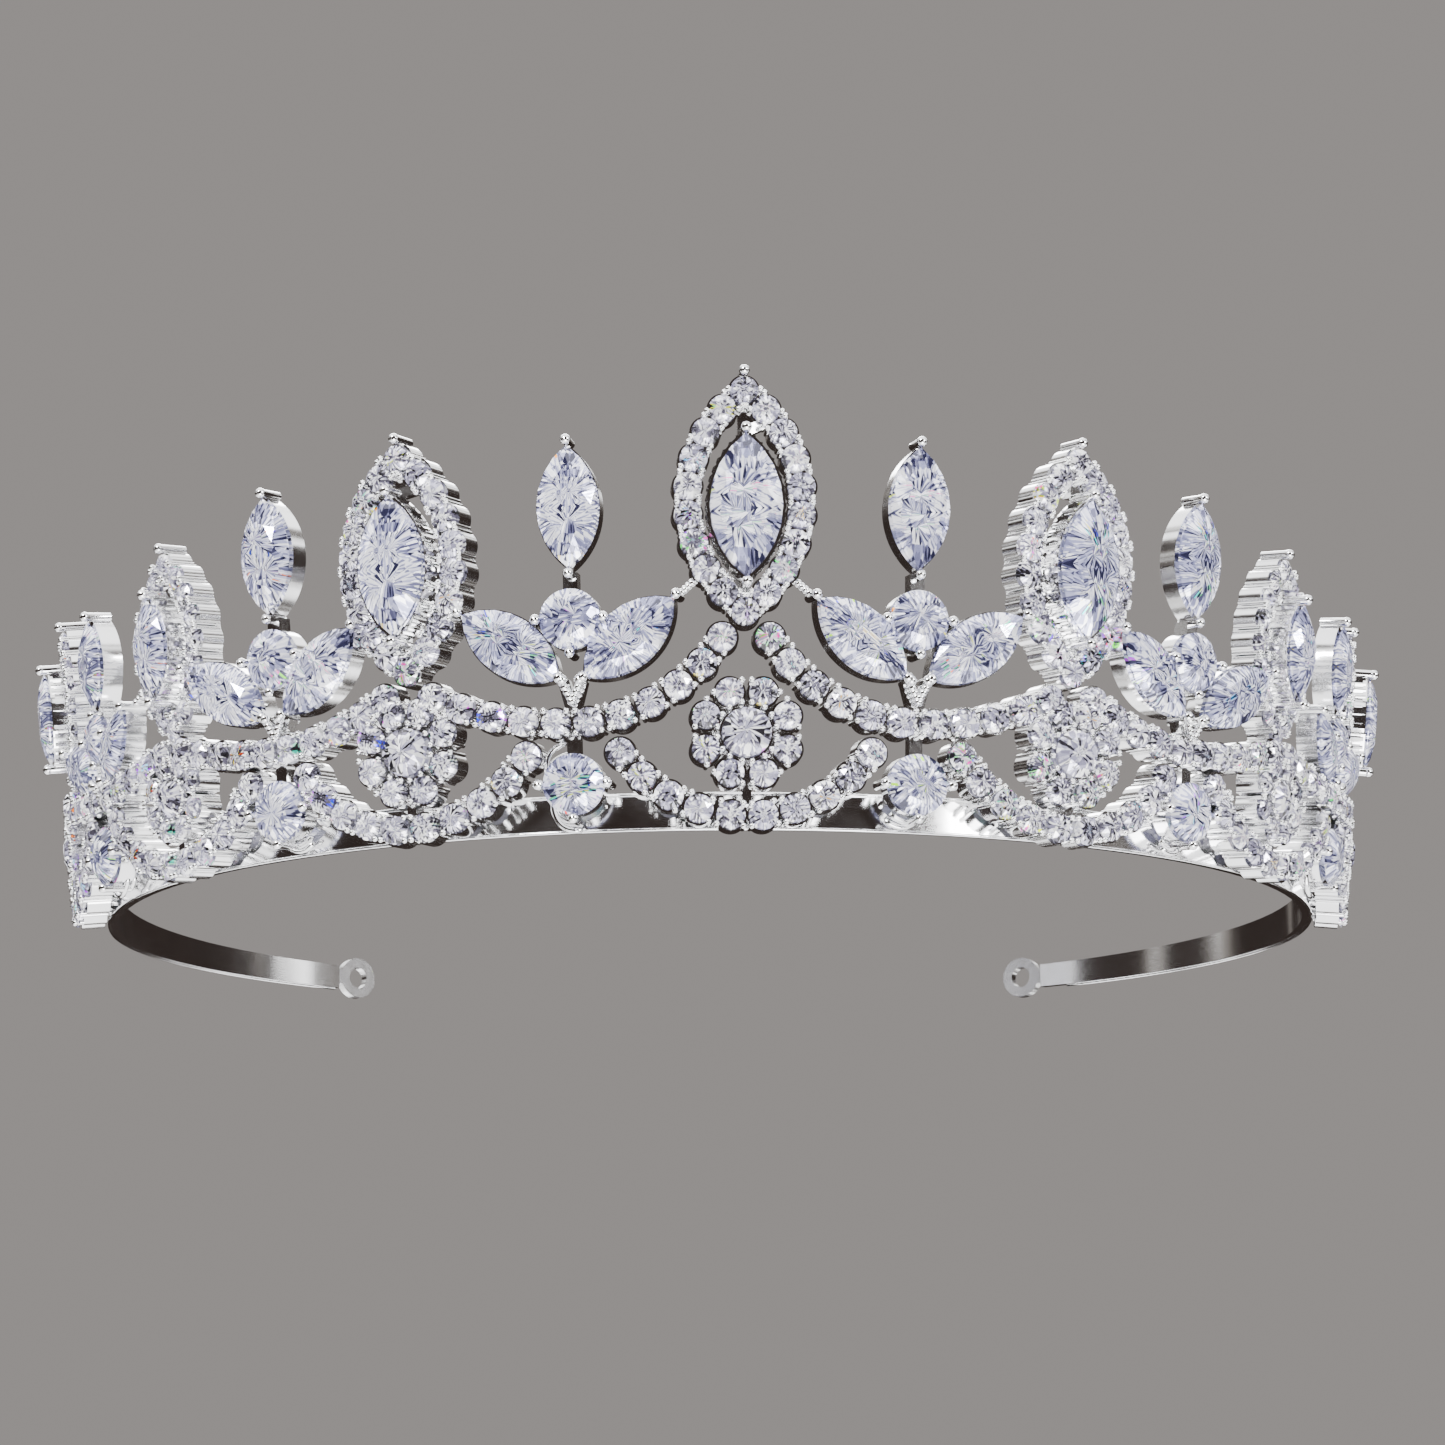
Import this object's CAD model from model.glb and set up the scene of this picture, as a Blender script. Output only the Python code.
"""Bridal tiara: an open headband that carries a flared wall of stone-set metalwork."""
from functools import cache
from math import asin, atan, atan2, cos, pi, radians, sin

import bmesh
import bpy
from mathutils import Matrix, Vector


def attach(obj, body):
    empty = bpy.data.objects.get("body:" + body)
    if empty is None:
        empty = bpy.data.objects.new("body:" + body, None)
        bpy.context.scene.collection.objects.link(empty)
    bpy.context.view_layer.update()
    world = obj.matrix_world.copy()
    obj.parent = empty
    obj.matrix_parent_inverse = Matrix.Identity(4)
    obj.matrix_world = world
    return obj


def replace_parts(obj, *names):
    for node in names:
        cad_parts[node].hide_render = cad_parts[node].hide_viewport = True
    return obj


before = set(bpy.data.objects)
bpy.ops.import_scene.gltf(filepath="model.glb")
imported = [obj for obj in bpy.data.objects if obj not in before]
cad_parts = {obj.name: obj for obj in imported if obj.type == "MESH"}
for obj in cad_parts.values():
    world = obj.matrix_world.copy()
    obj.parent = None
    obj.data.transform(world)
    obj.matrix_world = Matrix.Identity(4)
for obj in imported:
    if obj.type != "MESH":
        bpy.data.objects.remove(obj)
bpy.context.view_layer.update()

MM = 0.001


# ---- Headband
# One flat strip of polished metal, bent to the plan of the head and open at the back.
# It is cut from sheet, so its finish runs along it in faint lines, and its cut corners are
# rubbed round so that they don't catch the hair.

class Wire:
    """An output socket of a shader. Sums, differences and products of wires add Math nodes."""

    def __init__(self, tree, socket=None):
        self.tree = tree
        self.socket = socket

    def make(self, kind, settings=(), sockets=(), output=0):
        """Adds a node: first its settings, then the value or wire of each socket."""
        node = self.tree.nodes.new(kind)
        for name, value in dict(settings).items():
            if name == "stops":
                ramp = node.color_ramp
                for place, colour in value[2:]:
                    ramp.elements.new(place)
                for element, (place, colour) in zip(ramp.elements, value):
                    element.position = place
                    element.color = (*colour, 1)
            else:
                setattr(node, name, value)
        for name, value in dict(sockets).items():
            if isinstance(value, Wire):
                self.tree.links.new(value.socket, node.inputs[name])
            else:
                node.inputs[name].default_value = value
        return Wire(self.tree, node.outputs[output] if node.outputs else None)

    def beside(self, output):
        """Another output of the same node."""
        return Wire(self.tree, self.socket.node.outputs[output])

    def math(self, operation, *values):
        return self.make("ShaderNodeMath", {"operation": operation}, dict(enumerate(values)))

    def choose(self, low, high):
        """The colour low where this wire is 0, and high where it is 1."""
        return self.make("ShaderNodeMix", {"data_type": "RGBA"}, {0: self, 6: low, 7: high}, 2)

    def __add__(self, other):
        return self.math("ADD", self, other)

    def __radd__(self, other):
        return self.math("ADD", other, self)

    def __sub__(self, other):
        return self.math("SUBTRACT", self, other)

    def __rsub__(self, other):
        return self.math("SUBTRACT", other, self)

    def __mul__(self, other):
        return self.math("MULTIPLY", self, other)

    def __rmul__(self, other):
        return self.math("MULTIPLY", other, self)

    def __gt__(self, other):
        return self.math("GREATER_THAN", self, other)


def new_finish(name):
    """An empty material, and the wire that starts its nodes."""
    material = bpy.data.materials.new(name)
    material.use_nodes = True
    material.node_tree.nodes.clear()
    return material, Wire(material.node_tree)


def plating(name, colour, grains, squeeze, polish):
    """Bright plated metal, with so many grains to a metre, squeezed so many times along each axis."""
    material, start = new_finish(name)
    place = start.make("ShaderNodeTexCoord", output="Object")
    squeezed = start.make("ShaderNodeMapping", sockets={"Vector": place, "Scale": squeeze})
    grain = start.make("ShaderNodeTexNoise", sockets={"Vector": squeezed, "Scale": grains, "Detail": 3.0})
    cloud = start.make("ShaderNodeTexNoise", sockets={"Vector": place, "Scale": 260.0, "Detail": 2.0})
    dull = [0.90 * part for part in colour]
    tint = start.make("ShaderNodeValToRGB", {"stops": [(0.3, dull), (0.7, colour)]}, {"Fac": cloud})
    bumps = start.make("ShaderNodeBump", sockets={"Height": grain, "Strength": 0.12, "Distance": 0.02 * MM})
    shader = start.make("ShaderNodeBsdfPrincipled", sockets={
        "Base Color": tint, "Metallic": 1.0, "Roughness": polish + 0.10 * grain, "Normal": bumps})
    start.make("ShaderNodeOutputMaterial", sockets={"Surface": shader})
    return material


def finished(name, piece, material):
    """Turns a mesh under construction into an object at the origin, with its finish."""
    mesh = bpy.data.meshes.new(name)
    piece.to_mesh(mesh)
    piece.free()
    mesh.materials.append(material)
    made = bpy.data.objects.new(name, mesh)
    bpy.context.scene.collection.objects.link(made)
    return made


def fixed(name, piece, material):
    """A finished piece that is fixed to the tiara for good."""
    made = finished(name, piece, material)
    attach(made, "root")
    return made


def smooth(piece):
    """Shades a piece of metalwork smooth."""
    for face in piece.faces:
        face.smooth = True
    return piece


def joined(node):
    """A working copy of a CAD part, its loose triangles joined at their corners."""
    copy = bmesh.new()
    copy.from_mesh(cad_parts[node].data)
    bmesh.ops.remove_doubles(copy, verts=copy.verts, dist=1e-6)
    return copy


def polished(node, material):
    """A smooth-shaded copy that stands for a CAD part and keeps its sharp corners."""
    copy = smooth(joined(node))
    for edge in copy.edges:
        edge.smooth = len(edge.link_faces) == 2 and edge.calc_face_angle() < radians(32)
    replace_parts(fixed("polished_" + node, copy, material), node)


def upright(foot, out):
    """The matrix that stands a claw or the end of a wire on foot, along out."""
    return Matrix.Translation(foot) @ out.to_track_quat("Z", "Y").to_matrix().to_4x4()


def round_wire(piece, path, radius):
    """A wire of round section along a path, closed at both ends."""
    stands = [upright(a, b - a) for a, b in zip(path, path[1:])]
    circle = bmesh.ops.create_circle(piece, segments=8, radius=radius, matrix=stands[0], cap_ends=True)
    ring = circle["verts"]
    edges = [e for e in {e for v in ring for e in v.link_edges} if e.other_vert(e.verts[0]) in ring]
    for before, after in zip(stands, stands[1:]):
        drawn = bmesh.ops.extrude_edge_only(piece, edges=edges)["geom"]
        verts = {v for v in drawn if isinstance(v, bmesh.types.BMVert)}
        edges = [e for e in drawn if isinstance(e, bmesh.types.BMEdge) and set(e.verts) <= verts]
        bmesh.ops.transform(piece, matrix=after @ before.inverted(), verts=list(verts))
    bmesh.ops.contextual_create(piece, geom=edges)


def strip_corner(way):
    """The outer corner of the strip along its bottom (-1) or top (1), from end to end."""
    strip = joined("headband")
    spots = set()
    for edge in strip.edges:
        flat, wall = sorted((f.normal for f in edge.link_faces), key=lambda n: -abs(n.z))
        outward = (edge.verts[0].co + edge.verts[1].co).xy
        if flat.z * way > 0.8 and abs(wall.z) < 0.3 and wall.xy.dot(outward) > 0:
            spots.update(tuple(v.co) for v in edge.verts)
    strip.free()
    path = sorted((Vector(spot) for spot in spots), key=lambda spot: atan2(spot.x, -spot.y))
    return [spot for k, spot in enumerate(path) if k == 0 or (spot - path[k - 1]).length > 0.05 * MM]


EDGE_RADIUS = 0.17 * MM    # radius of the strip's rounded corners

strip_finish = plating("polished_strip", (0.93, 0.93, 0.94), 900.0, (1.0, 1.0, 14.0), 0.07)
polished("headband", strip_finish)

band_edges = bmesh.new()
for way in (-1, 1):
    round_wire(band_edges, strip_corner(way), EDGE_RADIUS)
bmesh.ops.recalc_face_normals(band_edges, faces=band_edges.faces)
fixed("band_edges", smooth(band_edges), strip_finish)


# ---- End loops
# A flat eyelet is soldered to each end of the strip, for a ribbon or a hair grip, and short
# posts fix the lower rows and the baskets to its front. Both are rubbed smooth by hand, so
# their grain has no direction.

def finish(node, material):
    """Gives a CAD part its finish."""
    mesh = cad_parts[node].data
    mesh.materials.clear()
    mesh.materials.append(material)


loop_finish = plating("rubbed_loop", (0.92, 0.92, 0.93), 1400.0, (1.0, 1.0, 1.0), 0.16)
for side in ("left", "right"):
    polished(side + "_end_loop", loop_finish)
finish("solder_posts", loop_finish)


# ---- Lower rows
# A bowed row of drilled cups, cast in one, hangs under each tall motif and is soldered to the
# posts. Each cup holds a round brilliant, and neighbours share pairs of small ball-tipped claws
# whose shafts run down the cups as ribs.

SIDES = ("left_3", "left_2", "left_1", "centre", "right_1", "right_2", "right_3")
SPEAR_SIDES = ("left_3", "left_2", "left_1", "right_1", "right_2", "right_3")

CUP_DEPTH = 2.8 * MM       # depth of the cups behind the stones
CLAW_RADIUS = 0.22 * MM    # radius of a small claw's shaft
BALL_RADIUS = 0.32 * MM    # radius of the ball at its tip
CLAW_RISE = 0.34 * MM      # from a stone's girdle to the middle of the ball
CLAW_OUT = 0.20 * MM       # from the girdle's edge out to the claw
CLAW_TURN = radians(43)    # from the line between two stones to a claw on one of them
SHARING = 1.32             # stones no further apart than this, in sums of their radii, share claws

TABLE_RISE = 0.34          # a stone's table above its girdle, for a half width of 1
PAVILION = 0.84            # its culet below the girdle

SMALL_SHADES = ((0.26, (0.015, 0.014, 0.016)), (0.37, (0.10, 0.09, 0.13)), (0.48, (0.27, 0.26, 0.38)),
                (0.59, (0.55, 0.54, 0.70)), (0.71, (1.0, 1.0, 1.0)))

cast_finish = plating("cast_plating", (0.95, 0.95, 0.96), 2200.0, (1.0, 1.0, 1.0), 0.09)


class Seat:
    """Where a stone sits: its middle, the way it faces, its long way, and its half sizes."""

    def __init__(self, table, verts):
        self.out = table.normal.copy()
        top = table.calc_center_bounds()
        across = [(v.co - top) - self.out * (v.co - top).dot(self.out) for v in verts]
        longest = max(across, key=lambda d: d.length)
        self.half_long = longest.length
        self.long = longest.normalized() * (1 if longest.z >= 0 else -1)
        self.side = self.long.cross(self.out)
        self.half_wide = max(abs(d.dot(self.side)) for d in across)
        girdle = [v.co for v, d in zip(verts, across) if d.length > 0.97 * self.half_long]
        height = sum((c - top).dot(self.out) for c in girdle) / len(girdle)
        self.middle = top + self.out * height

    def place(self):
        """The matrix from a stone of half width 1 at the origin to this seat."""
        turn = Matrix((self.side, self.long, self.out)).transposed().to_4x4()
        return Matrix.Translation(self.middle) @ turn @ Matrix.Scale(self.half_wide, 4)


@cache
def seats(node):
    """The seat of each separate stone in a CAD part. A stone's largest face is its table."""
    stones = joined(node)
    bmesh.ops.dissolve_limit(stones, angle_limit=radians(1), verts=stones.verts, edges=stones.edges)
    found = []
    for first in stones.verts:
        if first.tag:
            continue
        first.tag = True
        stone = [first]
        for v in stone:
            for other in (e.other_vert(v) for e in v.link_edges):
                if not other.tag:
                    other.tag = True
                    stone.append(other)
        faces = {f for v in stone for f in v.link_faces}
        found.append(Seat(max(faces, key=lambda f: f.calc_area()), stone))
    stones.free()
    return found


def grind(stone, turn, support, rise, inset):
    """Grinds one facet whose edge lies on the outline at a turn, rising to rise at an inset from it."""
    tilt = atan(abs(rise) / (support * inset))
    normal = Vector((sin(tilt) * cos(turn), sin(tilt) * sin(turn), cos(tilt) * (1 if rise > 0 else -1)))
    cut = bmesh.ops.bisect_plane(
        stone, geom=stone.verts[:] + stone.edges[:] + stone.faces[:],
        plane_co=normal * (sin(tilt) * support), plane_no=normal, clear_outer=True, dist=1e-7)
    rim = [e for e in cut["geom_cut"] if isinstance(e, bmesh.types.BMEdge)]
    if rim:
        bmesh.ops.holes_fill(stone, edges=rim)


def brilliant(fine):
    """A round brilliant of radius 1: table, mains, stars and pavilion, and if fine, halves too."""
    stone = bmesh.new()
    bmesh.ops.create_cone(stone, cap_ends=True, segments=32 if fine else 16, radius1=1, radius2=1,
                          depth=2, matrix=Matrix.Translation((0, 0, TABLE_RISE - 1)))
    for k in range(8):
        grind(stone, k * pi / 4, 1, TABLE_RISE, 0.42)
        grind(stone, k * pi / 4, 1, -PAVILION, 1)
    for k in range(8):
        grind(stone, (k + 0.5) * pi / 4, 1.12, TABLE_RISE + 0.12, 0.72)
    if fine:
        for k in range(16):
            grind(stone, (k + 0.5) * pi / 8, 1, 0.42, 0.44)
            grind(stone, (k + 0.5) * pi / 8, 1, -PAVILION - 0.06, 1)
    return stone


def add_copy(piece, template, matrix):
    """Adds a copy of a small mesh to a piece, and returns its vertices."""
    template.verts.index_update()
    copies = [piece.verts.new(matrix @ v.co) for v in template.verts]
    for face in template.faces:
        piece.faces.new([copies[v.index] for v in face.verts]).smooth = face.smooth
    return copies


def set_stones(node, cut, material):
    """Sets a cut stone in every seat of a CAD part, to stand for its plain stones.
    Each vertex keeps its place on its stone and the stone's number, for the pattern."""
    piece = bmesh.new()
    place = piece.verts.layers.float_vector.new("cut_place")
    for number, seat in enumerate(seats(node)):
        stone = cut(seat)
        for v, copy in zip(stone.verts, add_copy(piece, stone, seat.place())):
            copy[place] = (v.co.x, v.co.y, number)
        stone.free()
    bmesh.ops.recalc_face_normals(piece, faces=piece.faces)
    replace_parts(fixed("cut_" + node, piece, material), node)


def crystal(name, slivers, rings, keel, shades):
    """Clear cut stone. The pattern is the mosaic of inner reflections: so many slivers in a turn
    and so many rings to the edge, about a keel line of the given half length."""
    material, start = new_finish(name)
    place = start.make("ShaderNodeAttribute", {"attribute_name": "cut_place"}, output="Vector")
    across = start.make("ShaderNodeSeparateXYZ", sockets={"Vector": place}, output="X")
    number = across.beside("Z")

    # Shards of the pattern are shifted at random, as facets shift what is seen through them.
    shard = start.make("ShaderNodeTexVoronoi", sockets={"Vector": place, "Scale": 2.3}, output="Color")
    shift = start.make("ShaderNodeSeparateColor", sockets={"Color": shard})
    x = across + 0.5 * shift - 0.25
    y = across.beside("Y") + 0.5 * shift.beside("Green") - 0.25

    # Slivers run out from the keel, mirrored from side to side and from end to end.
    along = start.math("ABSOLUTE", y) - keel
    reach = start.math("SQRT", x * x + along * along)
    turn = start.math("ARCTAN2", along, start.math("ABSOLUTE", x) - 0.06) * (slivers / (2 * pi))
    facet = start.make("ShaderNodeCombineXYZ", sockets={
        "X": start.math("FLOOR", 0.4 * turn + 0.3 * x), "Y": start.math("FLOOR", 2.2 * reach + 0.5 * y),
        "Z": number + 0.5})
    flat = start.make("ShaderNodeTexWhiteNoise", {"noise_dimensions": "3D"}, {"Vector": facet}, "Value")
    spread = start.make("ShaderNodeCombineXYZ", sockets={"X": turn, "Y": rings * reach, "Z": 3.7 * number})
    sliver = start.make("ShaderNodeTexVoronoi", sockets={"Vector": spread, "Scale": 1.0}, output="Color")
    shade = start.make("ShaderNodeSeparateColor", sockets={"Color": sliver})
    tint = start.make("ShaderNodeValToRGB", {"stops": shades}, {"Fac": 0.4 * flat + 0.6 * shade})

    # A few slivers flash in a spectral colour, and a few shine white.
    fire = start.make("ShaderNodeHueSaturation", sockets={
        "Color": flat.beside("Color"), "Saturation": 1.4, "Value": 1.3})
    colour = (shade.beside("Green") > 0.975).choose(tint, fire)
    faint = start.make("ShaderNodeHueSaturation", sockets={"Color": colour, "Value": 0.13})
    glow = (shade.beside("Blue") > 0.97).choose(faint, (1, 1, 1, 1))
    shader = start.make("ShaderNodeBsdfPrincipled", sockets={
        "Base Color": colour, "Roughness": 0.03, "IOR": 2.0, "Metallic": 0.4, "Transmission Weight": 0.1,
        "Emission Color": glow, "Emission Strength": 2.5})
    start.make("ShaderNodeOutputMaterial", sockets={"Surface": shader})
    return material


def claw(height, shaft, ball, sides):
    """A claw that rises from the origin along Z and ends in a ball."""
    made = bmesh.new()
    bmesh.ops.create_cone(made, segments=sides, radius1=shaft, radius2=shaft, depth=height,
                          matrix=Matrix.Translation((0, 0, height / 2)))
    bmesh.ops.create_uvsphere(made, u_segments=sides, v_segments=sides * 2 // 3, radius=ball,
                              matrix=Matrix.Translation((0, 0, height)))
    return smooth(made)


small_claw = claw(CUP_DEPTH + CLAW_RISE, CLAW_RADIUS, BALL_RADIUS, 8)


def shared_claws(name, node):
    """Pairs of claws between neighbouring round stones, on both edges of their row."""
    piece = bmesh.new()
    places = seats(node)
    for first, a in enumerate(places):
        for b in places[first + 1:]:
            gap = b.middle - a.middle
            alike = abs(a.half_wide - b.half_wide) < 0.1 * a.half_wide
            if gap.length > SHARING * (a.half_wide + b.half_wide) or not alike:
                continue
            for seat, toward in ((a, gap.normalized()), (b, -gap.normalized())):
                across = seat.out.cross(toward).normalized()
                for way in (-1, 1):
                    spot = toward * cos(CLAW_TURN) + across * sin(CLAW_TURN) * way
                    foot = seat.middle + spot * (seat.half_wide + CLAW_OUT) - seat.out * CUP_DEPTH
                    add_copy(piece, small_claw, upright(foot, seat.out))
    fixed(name, piece, cast_finish)


small_crystal = crystal("small_crystal", 26, 2.0, 0.0, SMALL_SHADES)
small_cut = brilliant(fine=False)


def small_brilliant(seat):
    """The cut of every small round stone, whatever its seat."""
    return small_cut.copy()


for side in SIDES:
    finish("lower_row_" + side, cast_finish)
shared_claws("lower_row_claws", "lower_row_stones")
set_stones("lower_row_stones", small_brilliant, small_crystal)


# ---- Garlands
# Higher rows of the same cast cups bow down under each spear, from the neck of one halo to the
# next. They are soldered to the cups beside them, and so tie the tall motifs together.

for side in SPEAR_SIDES:
    finish("garland_" + side, cast_finish)
shared_claws("garland_claws", "garland_stones")
set_stones("garland_stones", small_brilliant, small_crystal)


# ---- Flowers
# A cast flower of eight small cups round a larger one stands under each tall motif, on the
# lower row, with a stone in each cup.

for side in SIDES:
    finish("flower_" + side, cast_finish)
shared_claws("flower_claws", "flower_stones")
set_stones("flower_stones", small_brilliant, small_crystal)


# ---- Halos
# A pointed oval of cups crowns each tall motif: one flat casting, open in the middle, with a
# single ball at its tip.

for side in SIDES:
    finish("halo_" + side, cast_finish)
shared_claws("halo_claws", "halo_stones")
set_stones("halo_stones", small_brilliant, small_crystal)


# ---- Large round stones
# Six larger brilliants sit in baskets between the lower rows, and six more in the cups of the
# spears. A basket is a cast ring with three claws. It hangs from its garland by a bar, and wires
# that bow round from its back prop it.

LARGE_SHADES = ((0.22, (0.02, 0.02, 0.05)), (0.33, (0.10, 0.10, 0.19)), (0.47, (0.27, 0.28, 0.47)),
                (0.58, (0.52, 0.53, 0.75)), (0.70, (0.95, 0.95, 1.0)))
BASKET_TOP = 9 * MM        # the baskets' stones lie below this height
PROP_RADIUS = 0.28 * MM    # radius of a prop's wire

large_crystal = crystal("large_crystal", 64, 3.0, 0.0, LARGE_SHADES)
large_cut = brilliant(fine=True)


def large_brilliant(seat):
    """The cut of every large round stone, whatever its seat."""
    return large_cut.copy()


def bowed(foot, pull, tip):
    """Points along a wire that leaves foot towards pull and bends over to tip."""
    steps = [k / 9 for k in range(10)]
    return [foot * (1 - t) ** 2 + pull * 2 * t * (1 - t) + tip * t * t for t in steps]


polished("lower_baskets", cast_finish)
set_stones("large_round_stones", large_brilliant, large_crystal)

props = bmesh.new()
for seat in seats("large_round_stones"):
    if seat.middle.z > BASKET_TOP:
        continue
    # Two props on each side: how far out each one reaches, in half widths, and how far back it lies.
    for way in (-1, 1):
        for spread, depth in ((1.45, 1.9 * MM), (1.1, 2.6 * MM)):
            back = seat.middle - seat.out * depth
            foot, pull, tip = (
                back + (seat.side * way * x + seat.long * y) * seat.half_wide
                for x, y in ((0.25, -0.85), (spread * 1.05, -1.05), (spread, 0.15)))
            round_wire(props, bowed(foot, pull, tip), PROP_RADIUS)
bmesh.ops.recalc_face_normals(props, faces=props.faces)
fixed("basket_wires", smooth(props), cast_finish)


# ---- Leaf pairs and spears
# Marquise stones stand in smooth cast walls with a ball-tipped claw at each point. Two leaves
# spread from one foot on a stem of small beads, and a spear rises between them.

KNOB = 0.56 * MM           # radius of the knob over a leaf's foot
BEAD = 0.42 * MM           # radius of the beads on a stem
LONGEST_TIE = 6.5 * MM     # a leaf's tip is tied to a halo no further away than this

marquise_crystal = crystal("marquise_crystal", 84, 2.8, 0.45, LARGE_SHADES)


def marquise(seat):
    """A marquise of half width 1, its facets stretched over the corners of a brilliant cut."""
    long = seat.half_long / seat.half_wide
    arc = (long * long + 1) / 2
    last = asin(long / arc)

    def corner(step, inset, height):
        """A corner at one of 16 steps round the outline, moved in to a share of it."""
        way = 1 if step % 16 < 4 or step % 16 > 12 else -1
        if step % 16 in (4, 12):
            return Vector((0, long * (1 if step % 16 == 4 else -1) * inset, height))
        turn = last * ((step + 8) % 16 - 8 if way > 0 else 8 - step % 16) / 4
        return Vector(((arc * cos(turn) - arc + 1) * way * inset, arc * sin(turn) * inset, height))

    girdle = [corner(k, 1, height) for k in range(16) for height in (0.02, -0.03)]
    crown = [corner(2 * k, 0.80, 0.20) for k in range(8)]
    table = [corner(2 * k + 1, 0.60, TABLE_RISE) for k in range(8)]
    pavilion = [corner(2 * k + 1, 0.46, -0.50) for k in range(8)]
    keel = [Vector((0, way * 0.22 * long, -PAVILION)) for way in (-1, 1)]
    stone = bmesh.new()
    for spot in girdle + crown + table + pavilion + keel:
        stone.verts.new(spot)
    bmesh.ops.convex_hull(stone, input=stone.verts)
    return stone


def beads(piece, path, radius):
    """A run of small beads that makes a ribbed stem."""
    for spot in path:
        bmesh.ops.create_uvsphere(piece, u_segments=9, v_segments=7, radius=radius,
                                  matrix=Matrix.Translation(spot))


for side in SPEAR_SIDES:
    polished("leaf_pair_" + side, cast_finish)
    polished("spear_" + side, cast_finish)
set_stones("leaf_stones", marquise, marquise_crystal)
set_stones("spear_stones", marquise, marquise_crystal)

stems = bmesh.new()
leaves = seats("leaf_stones")
for leaf in leaves:
    # The stem runs from a knob at the leaf's foot down between the feet of the pair.
    foot = leaf.middle - leaf.long * (leaf.half_long + 0.1 * MM)
    twin = min((other for other in leaves if other is not leaf), key=lambda other: (
        other.middle - other.long * other.half_long - foot).length)
    between = (foot + twin.middle - twin.long * twin.half_long) / 2
    root = between - leaf.out * 0.5 * MM - Vector((0, 0, 2.3 * MM))
    beads(stems, [foot + leaf.out * 0.3 * MM], KNOB)
    beads(stems, [foot.lerp(root, k / 5) + leaf.out * 0.1 * MM for k in range(1, 6)], BEAD)

    # A leaf whose tip comes near a halo is tied to its nearest cup.
    tip = leaf.middle + leaf.long * (leaf.half_long + 0.5 * MM) - leaf.out * 1.2 * MM
    near = min(seats("halo_stones"), key=lambda stone: (stone.middle - tip).length)
    tie = near.middle - near.out * 1.2 * MM
    if (tie - tip).length < LONGEST_TIE:
        beads(stems, [tip.lerp(tie, k / 8) for k in range(8)], BEAD)
fixed("ribbed_stems", smooth(stems), cast_finish)


# ---- Crests
# A marquise stands in front of each halo on an open gallery: two rails that follow its outline,
# with flat posts between them, a ball-tipped claw at each point and a strut to the halo.

CREST_BACK = -3.3 * MM     # back of the gallery, from the girdle
LARGE_BALL = 0.54 * MM     # radius of the ball on a claw at a marquise's point
LARGE_CLAW = 0.50 * MM     # radius of its shaft
LARGE_RISE = 0.35 * MM     # from the girdle to the middle of its ball
RAIL_OUT = 0.26 * MM       # from the girdle's edge out to a rail
RAIL_WALL = 0.30 * MM      # thickness of a rail
POST_OUT = 0.18 * MM       # from the girdle's edge out to the middle of a post
POST_WIDE = 0.42 * MM      # width of a gallery post
POST_DEEP = 0.34 * MM      # its thickness
POST_PITCH = 1.05 * MM     # about how far one post is from the next


def outline(seat, grow, count):
    """Points round a marquise's girdle, moved out by grow: two arcs that meet at its points."""
    wide = seat.half_wide + grow
    long = seat.half_long + grow * 1.4
    arc = (long * long + wide * wide) / (2 * wide)
    last = asin(long / arc)
    turns = [last * (2 * k / count - 1) for k in range(count)]
    half = [(arc * cos(a) - arc + wide, arc * sin(a)) for a in turns]
    return [seat.middle + seat.side * x + seat.long * y for x, y in half + [(-x, -y) for x, y in half]]


def rail(piece, seat, front, back):
    """A flat wall that follows the outline between two depths."""
    verts = [piece.verts.new(spot + seat.out * front) for spot in outline(seat, RAIL_OUT, 20)]
    edges = [piece.edges.new((a, b)) for a, b in zip(verts, verts[1:] + verts[:1])]
    drawn = bmesh.ops.extrude_edge_only(piece, edges=edges)["geom"]
    moved = [v for v in drawn if isinstance(v, bmesh.types.BMVert)]
    bmesh.ops.translate(piece, verts=moved, vec=seat.out * (back - front))
    wall = [f for f in drawn if isinstance(f, bmesh.types.BMFace)]
    bmesh.ops.recalc_face_normals(piece, faces=wall)
    bmesh.ops.solidify(piece, geom=wall, thickness=RAIL_WALL)


def strut(piece, a, b, out, wide, deep):
    """A flat bar from a to b, deep along out."""
    along = (b - a).normalized()
    side = along.cross(out).normalized()
    turn = Matrix((side, along, side.cross(along))).transposed().to_4x4()
    size = Matrix.Diagonal((wide, (b - a).length, deep, 1))
    bmesh.ops.create_cube(piece, size=1, matrix=Matrix.Translation((a + b) / 2) @ turn @ size)


for side in SIDES:
    polished("crest_setting_" + side, cast_finish)

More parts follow.
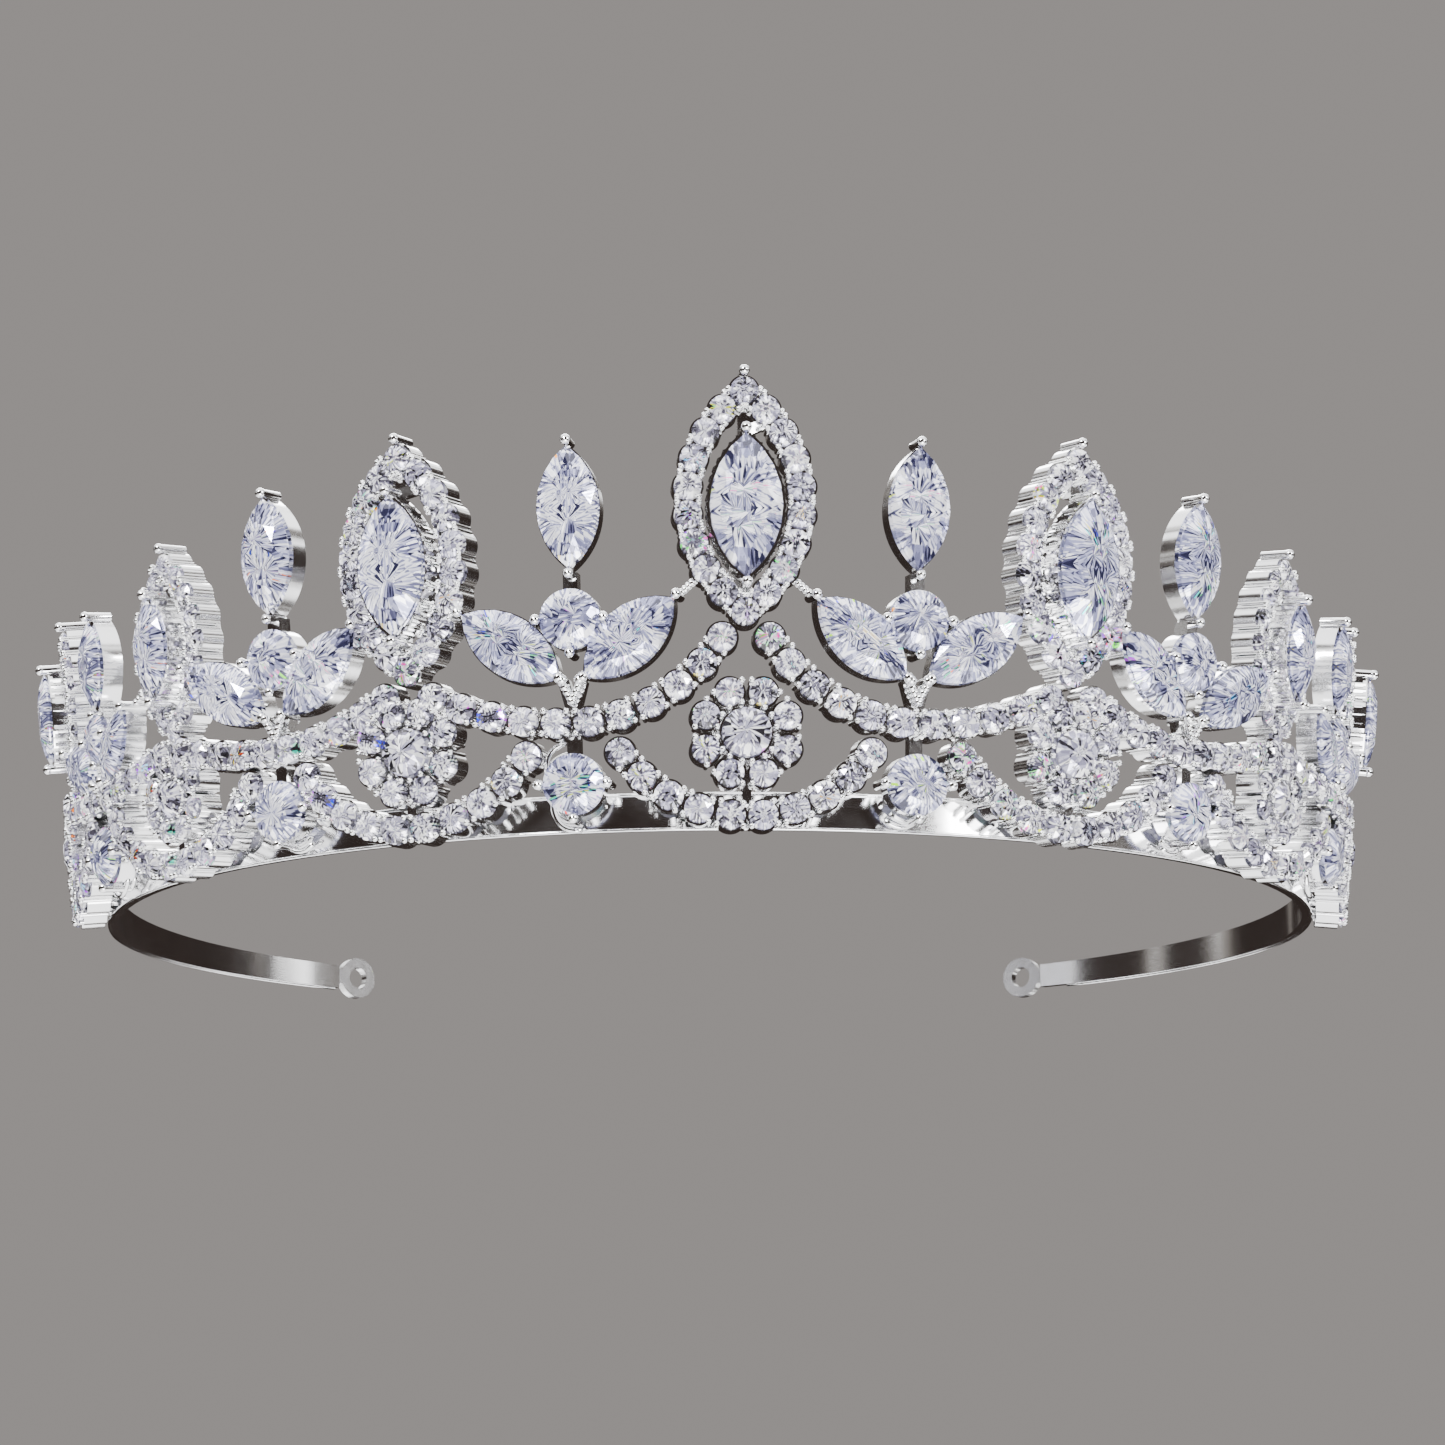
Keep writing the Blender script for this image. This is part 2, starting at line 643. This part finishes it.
point_claw = claw(LARGE_RISE - CREST_BACK, LARGE_CLAW, LARGE_BALL, 14)
gallery = bmesh.new()
for seat in seats("crest_stones"):
    # One rail just behind the girdle and one at the back, with posts from one to the other.
    rail(gallery, seat, -0.35 * MM, -0.80 * MM)
    rail(gallery, seat, CREST_BACK + 0.5 * MM, CREST_BACK)
    half_round = 2.2 * (seat.half_long + 0.6 * seat.half_wide)
    for spot in outline(seat, POST_OUT, int(half_round / POST_PITCH)):
        strut(gallery, spot - seat.out * 0.5 * MM, spot + seat.out * (CREST_BACK + 0.4 * MM),
              (spot - seat.middle).normalized(), POST_WIDE, POST_DEEP)

    # A claw at each point of the stone, and a strut from it to the nearest cup of the halo.
    for way in (-1, 1):
        point = seat.middle + seat.long * way * (seat.half_long + 0.5 * MM)
        add_copy(gallery, point_claw, upright(point + seat.out * CREST_BACK, seat.out))
        cup = min(seats("halo_stones"), key=lambda stone: (stone.middle - point).length)
        meet = cup.middle - seat.long * way * cup.half_wide * 0.9 - seat.out * 1.2 * MM
        strut(gallery, point + seat.out * (CREST_BACK + 0.6 * MM), meet, seat.out, 1.0 * MM, 1.1 * MM)
fixed("crest_galleries", gallery, cast_finish)
set_stones("crest_stones", marquise, marquise_crystal)


# ---- Studio
# A pale matt floor that only shows from above, under four soft lamps and a sky of bright panels
# with a dark front, which gives the metal its dark edges. The camera stands low in front.

slab = bmesh.new()
bmesh.ops.create_grid(slab, x_segments=1, y_segments=1, size=1.5,
                      matrix=Matrix.Translation((0, 0, -0.4 * MM)))
floor_finish, start = new_finish("pale_floor")
below = start.make("ShaderNodeNewGeometry", output="Backfacing")
glossy = start.make("ShaderNodeLightPath", output="Is Glossy Ray")
unseen = start.math("MAXIMUM", below, glossy)
matt = start.make("ShaderNodeBsdfDiffuse", sockets={"Color": (0.82, 0.81, 0.80, 1)})
clear = start.make("ShaderNodeBsdfTransparent")
either = start.make("ShaderNodeMixShader", sockets={0: unseen, 1: matt, 2: clear})
start.make("ShaderNodeOutputMaterial", sockets={"Surface": either})
finished("floor", slab, floor_finish)

world = bpy.data.worlds.new("studio")
bpy.context.scene.world = world
world.use_nodes = True
world.node_tree.nodes.clear()
start = Wire(world.node_tree)
sky = start.make("ShaderNodeTexCoord", output="Generated")
cloud = start.make("ShaderNodeTexNoise", sockets={
    "Vector": sky, "Scale": 1.7, "Detail": 2.0, "Distortion": 1.0})
panel = start.make("ShaderNodeTexVoronoi", sockets={"Vector": sky, "Scale": 6.0}, output="Color")
level = start.make("ShaderNodeSeparateColor", sockets={"Color": panel})
depth = start.make("ShaderNodeSeparateXYZ", sockets={"Vector": sky}, output="Y")
height = start.math("ABSOLUTE", depth.beside("Z") - 0.05)
dark_front = start.math("MAXIMUM", -1.4 * depth - 0.95, 0.0)
glow = start.make("ShaderNodeValToRGB", {"stops": [
    (0.44, (0.012, 0.009, 0.008)), (0.48, (0.12, 0.11, 0.10)), (0.52, (1.0, 1.0, 1.0))]}, {
    "Fac": 0.5 * cloud + 0.15 * level + 0.33 * height - dark_front})
lit = start.make("ShaderNodeBackground", sockets={"Color": glow, "Strength": 3.0})
plain = start.make("ShaderNodeBackground", sockets={"Color": (0.31, 0.29, 0.28, 1), "Strength": 1.0})
seen = start.make("ShaderNodeLightPath", output="Is Camera Ray")
both = start.make("ShaderNodeMixShader", sockets={0: seen, 1: lit, 2: plain})
start.make("ShaderNodeOutputWorld", sockets={"Surface": both})


def aim(made, spot, target, roll=0.0):
    """Places a lamp or camera at spot, facing target."""
    facing = (Vector(target) - Vector(spot)).to_track_quat("-Z", "Y").to_matrix().to_4x4()
    made.matrix_world = Matrix.Translation(spot) @ facing @ Matrix.Rotation(roll, 4, "Z")
    bpy.context.scene.collection.objects.link(made)


for name, spot, size, power in (
        ("key", (-0.5, -0.7, 0.6), 0.25, 16.0), ("fill", (0.6, -0.6, 0.25), 0.25, 8.0),
        ("low", (0.1, -0.6, -0.45), 0.4, 6.0), ("rim", (0.0, 0.7, 0.6), 0.4, 6.0)):
    lamp = bpy.data.lights.new(name, "AREA")
    lamp.size = size
    lamp.energy = power
    aim(bpy.data.objects.new(name, lamp), spot, (0, 0, 0.02))

lens = bpy.data.cameras.new("camera")
lens.lens = 107.7
lens.sensor_width = 36
lens.clip_start = 0.01
camera = bpy.data.objects.new("camera", lens)
spot = Vector((-27.9, -446.95, -82.7)) * MM
yaw, rise = 0.064, 0.229
ahead = Vector((sin(yaw) * cos(rise), cos(yaw) * cos(rise), sin(rise)))
aim(camera, spot, spot + ahead, roll=-0.012)
bpy.context.scene.camera = camera
